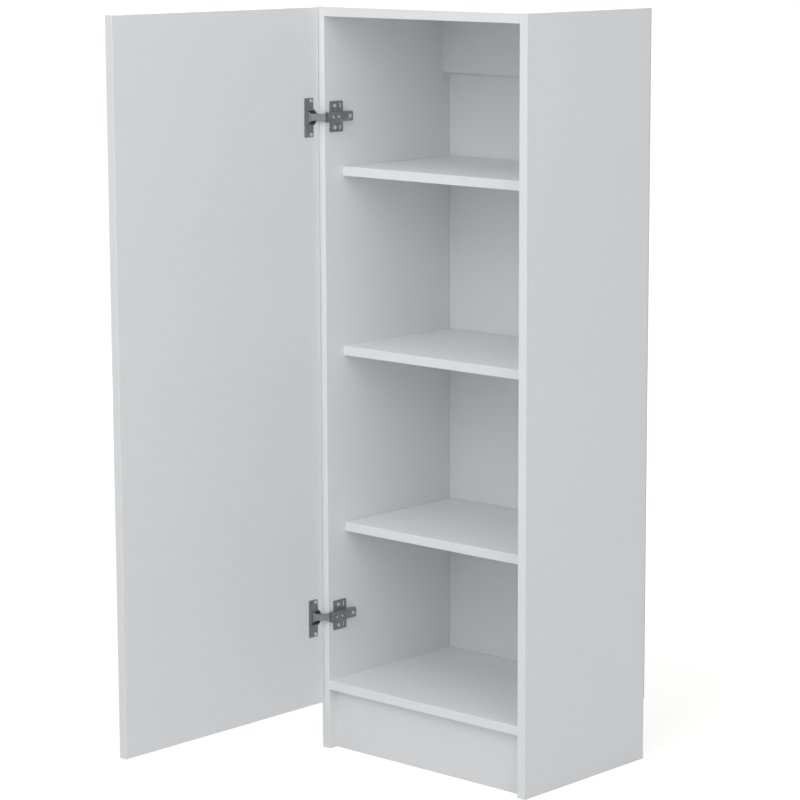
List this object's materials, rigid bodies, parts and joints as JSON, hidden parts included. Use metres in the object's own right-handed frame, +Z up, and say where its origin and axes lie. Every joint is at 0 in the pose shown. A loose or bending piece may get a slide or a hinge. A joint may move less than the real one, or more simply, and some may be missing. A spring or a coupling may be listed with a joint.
{
  "type": "pantry cabinet",
  "caption": "Tall white board pantry cabinet with open shelves inside and one full-overlay door on concealed cup hinges.",
  "frame": {"origin": "on the floor at the middle of the width, under the middle of the toe kick board", "axes": "+Z up, +X towards the side away from the hinges, -Y out of the front where the door is; the door stands open at rest"},
  "size_m": [0.4679, 0.7719, 1.27],
  "materials": {
    "white_board": "satin",
    "edge_band": "satin",
    "back_board": "satin",
    "beech": "matte",
    "zinc_casting": "satin",
    "hinge_steel": "satin",
    "link_steel": "satin",
    "bright_steel": "satin"
  },
  "bodies": {
    "cabinet": {"arm_adjusting_screws": "bright_steel", "arm_fixing_screws": "bright_steel", "back_panel": "back_board", "back_panel_nails": "bright_steel", "bottom_panel": "white_board", "cam_bolts": "bright_steel", "cam_locks": "zinc_casting", "carcass_edge_bands": "edge_band", "left_side": "white_board", "lower_hinge_arm": "hinge_steel", "lower_mounting_plate": "hinge_steel", "lower_shelf": "white_board", "middle_shelf": "white_board", "mounting_plate_screws": "bright_steel", "right_side": "white_board", "shelf_pins": "bright_steel", "toe_kick": "white_board", "top_panel": "white_board", "upper_hinge_arm": "hinge_steel", "upper_mounting_plate": "hinge_steel", "upper_shelf": "white_board", "wall_rail": "white_board", "wood_dowels": "beech"},
    "door": {"door_panel": "white_board", "door_edge_bands": "edge_band", "upper_hinge_cup": "hinge_steel", "lower_hinge_cup": "hinge_steel", "hinge_cup_screws": "bright_steel", "link_pins": "bright_steel"},
    "upper_link": {"upper_hinge_link": "link_steel"},
    "lower_link": {"lower_hinge_link": "link_steel"}
  },
  "joints": [
    {"name": "door_swing", "type": "hinge", "parent": "cabinet", "child": "door", "pos_m": [-0.22564, -0.03024, 0.6605], "axis": [0, 0, -1], "range_deg": [-90, 15]},
    {"name": "upper_link_fold", "type": "hinge", "parent": "door", "child": "upper_link", "pos_m": [-0.231, -0.04837, 1.0875], "axis": [0, 0, -1], "range_deg": [-8, 45]},
    {"name": "lower_link_fold", "type": "hinge", "parent": "door", "child": "lower_link", "pos_m": [-0.231, -0.04837, 0.2335], "axis": [0, 0, -1], "range_deg": [-8, 45]}
  ],
  "couplings": [
    {"joint": "upper_link_fold", "follows": "door_swing", "ratio": -0.489},
    {"joint": "lower_link_fold", "follows": "door_swing", "ratio": -0.489}
  ]
}
